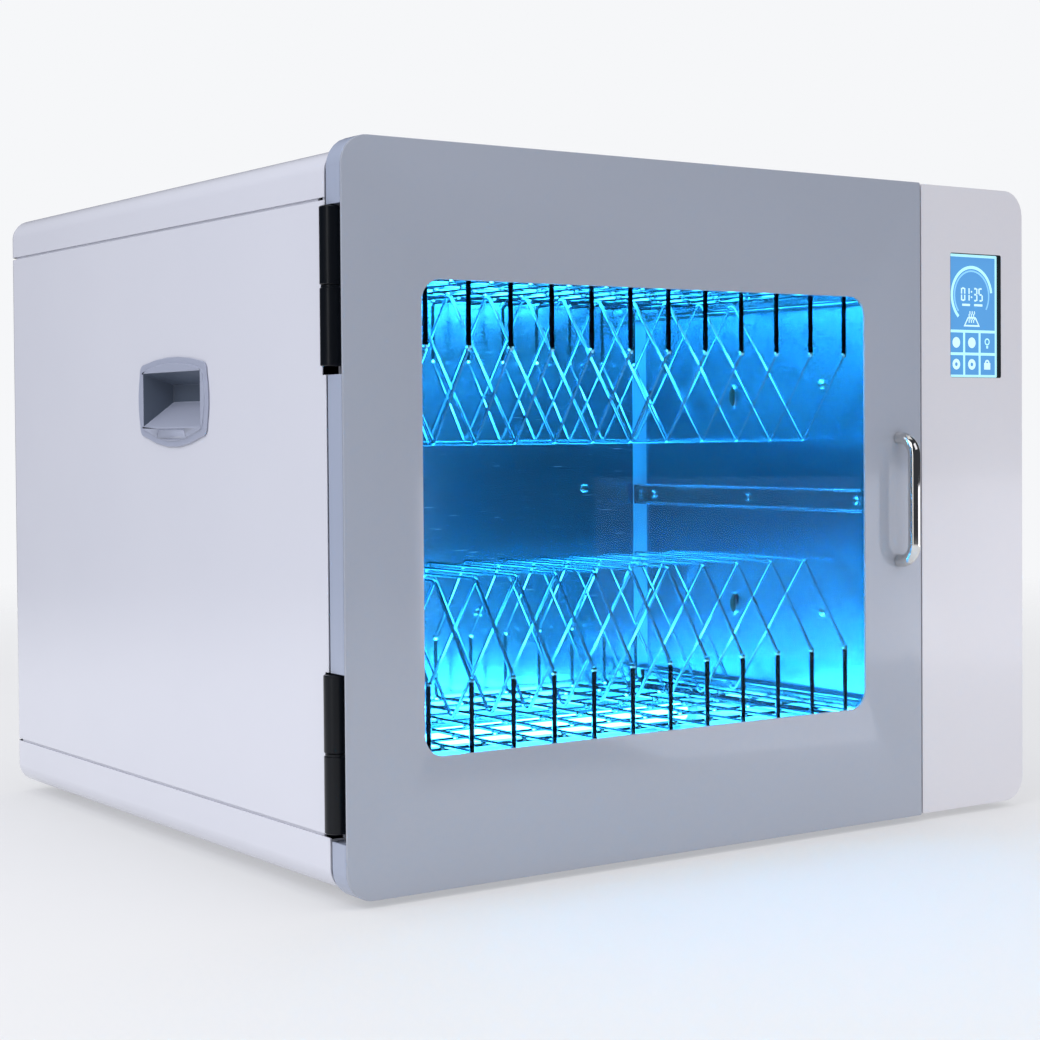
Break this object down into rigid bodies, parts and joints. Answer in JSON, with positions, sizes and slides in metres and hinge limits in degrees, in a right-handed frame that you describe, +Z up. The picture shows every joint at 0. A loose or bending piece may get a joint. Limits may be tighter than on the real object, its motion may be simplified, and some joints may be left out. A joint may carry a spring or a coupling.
{
  "type": "uv sterilizer cabinet",
  "caption": "Countertop UV steriliser: white case, glazed door on lift-off hinges, chamber with wire tool racks, and a control column with a touch display.",
  "frame": {"origin": "centre of the footprint of the whole cabinet, on the surface it stands on", "axes": "+Z up, -Y out of the door, +X towards the control column"},
  "size_m": [0.65, 0.603, 0.505],
  "materials": {
    "white_enamel": "gloss white powder-coated sheet",
    "door_grey": "gloss mid grey coated panel",
    "door_white": "gloss white moulded door frame",
    "column_white": "gloss white moulding",
    "carry_grey": "fine grained grey moulding",
    "stainless": "brushed stainless sheet",
    "chrome": "bright chrome",
    "black_hinge": "satin black coated zinc",
    "window_glass": "clear float glass",
    "lamp_glass": "quartz lamp tube, lit blue",
    "ceramic": "white glazed lampholder",
    "aluminium": "polished reflector sheet",
    "rubber": "black rubber",
    "black_plastic": "black moulding",
    "screen": "lit blue display glass",
    "circuit_board": "green laminate",
    "zinc": "dull zinc plated"
  },
  "bodies": {
    "cabinet": {"top_cover": "white_enamel", "base_cover": "white_enamel", "left_side_panel": "white_enamel", "right_side_panel": "white_enamel", "back_panel": "white_enamel", "front_frame": "white_enamel", "control_fascia": "column_white", "left_carry_handle": "carry_grey", "right_carry_handle": "carry_grey", "chamber_liner": "stainless", "lower_rail_left": "stainless", "lower_rail_right": "stainless", "middle_rail_left": "stainless", "middle_rail_right": "stainless", "upper_rail_left": "stainless", "upper_rail_right": "stainless", "fan_guard": "chrome", "lower_hinge_case_half": "black_hinge", "upper_hinge_case_half": "black_hinge", "lower_uv_tube_1": "lamp_glass", "lower_uv_tube_2": "lamp_glass", "upper_uv_tube_1": "lamp_glass", "upper_uv_tube_2": "lamp_glass", "lower_lampholder_left": "ceramic", "lower_lampholder_right": "ceramic", "upper_lampholder_left": "ceramic", "upper_lampholder_right": "ceramic", "lower_lamp_tray": "aluminium", "upper_lamp_tray": "aluminium", "power_supply": "aluminium", "foot_front_left": "rubber", "foot_front_right": "rubber", "foot_rear_left": "rubber", "foot_rear_right": "rubber", "screen_bezel": "black_plastic", "fan_housing": "black_plastic", "power_inlet": "black_plastic", "power_switch_body": "black_plastic", "door_switch": "black_plastic", "door_magnet": "black_plastic", "touchscreen": "screen", "control_board": "circuit_board", "lamp_ballast_upper": "zinc", "lamp_ballast_lower": "zinc"},
    "door": {"door_face": "door_grey", "door_frame": "door_white", "window_glass": "window_glass", "door_liner": "stainless", "magnet_striker": "zinc", "door_seal": "rubber", "door_handle": "chrome", "handle_screw_1": "zinc", "handle_screw_2": "zinc", "lower_hinge_door_half": "black_hinge", "upper_hinge_door_half": "black_hinge"},
    "lower_rack": {"lower_rack": "chrome"},
    "upper_rack": {"upper_rack": "chrome"},
    "door_switch_plunger": {"door_switch_plunger": "ceramic"},
    "fan_rotor": {"fan_rotor": "black_plastic"},
    "power_switch_rocker": {"power_switch_rocker": "black_plastic"}
  },
  "joints": [
    {"name": "door_hinge", "type": "hinge", "parent": "cabinet", "child": "door", "pos_m": [-0.3167, -0.26112, 0.255], "axis": [0, 0, -1], "range_deg": [0, 110]},
    {"name": "lower_rack_slide", "type": "slide", "parent": "cabinet", "child": "lower_rack", "axis": [0, -1, 0], "range_m": [0, 0.1055]},
    {"name": "upper_rack_slide", "type": "slide", "parent": "cabinet", "child": "upper_rack", "axis": [0, -1, 0], "range_m": [0, 0.1055]},
    {"name": "switch_plunger_slide", "type": "slide", "parent": "cabinet", "child": "door_switch_plunger", "axis": [0, -1, 0], "range_m": [0, 0.003]},
    {"name": "fan_spin", "type": "hinge", "parent": "cabinet", "child": "fan_rotor", "pos_m": [-0.08858, 0.28387, 0.31325], "axis": [0, 1, 0], "continuous": true},
    {"name": "power_switch_rock", "type": "hinge", "parent": "cabinet", "child": "power_switch_rocker", "pos_m": [0.2423, 0.29587, 0.158], "axis": [-1, 0, 0], "range_deg": [0, 14]}
  ],
  "couplings": [
    {"joint": "lower_rack_slide", "follows": "door_hinge", "m_per_rad": 0.055},
    {"joint": "upper_rack_slide", "follows": "door_hinge", "m_per_rad": 0.055},
    {"joint": "switch_plunger_slide", "follows": "door_hinge", "m_per_rad": 0.00156}
  ]
}
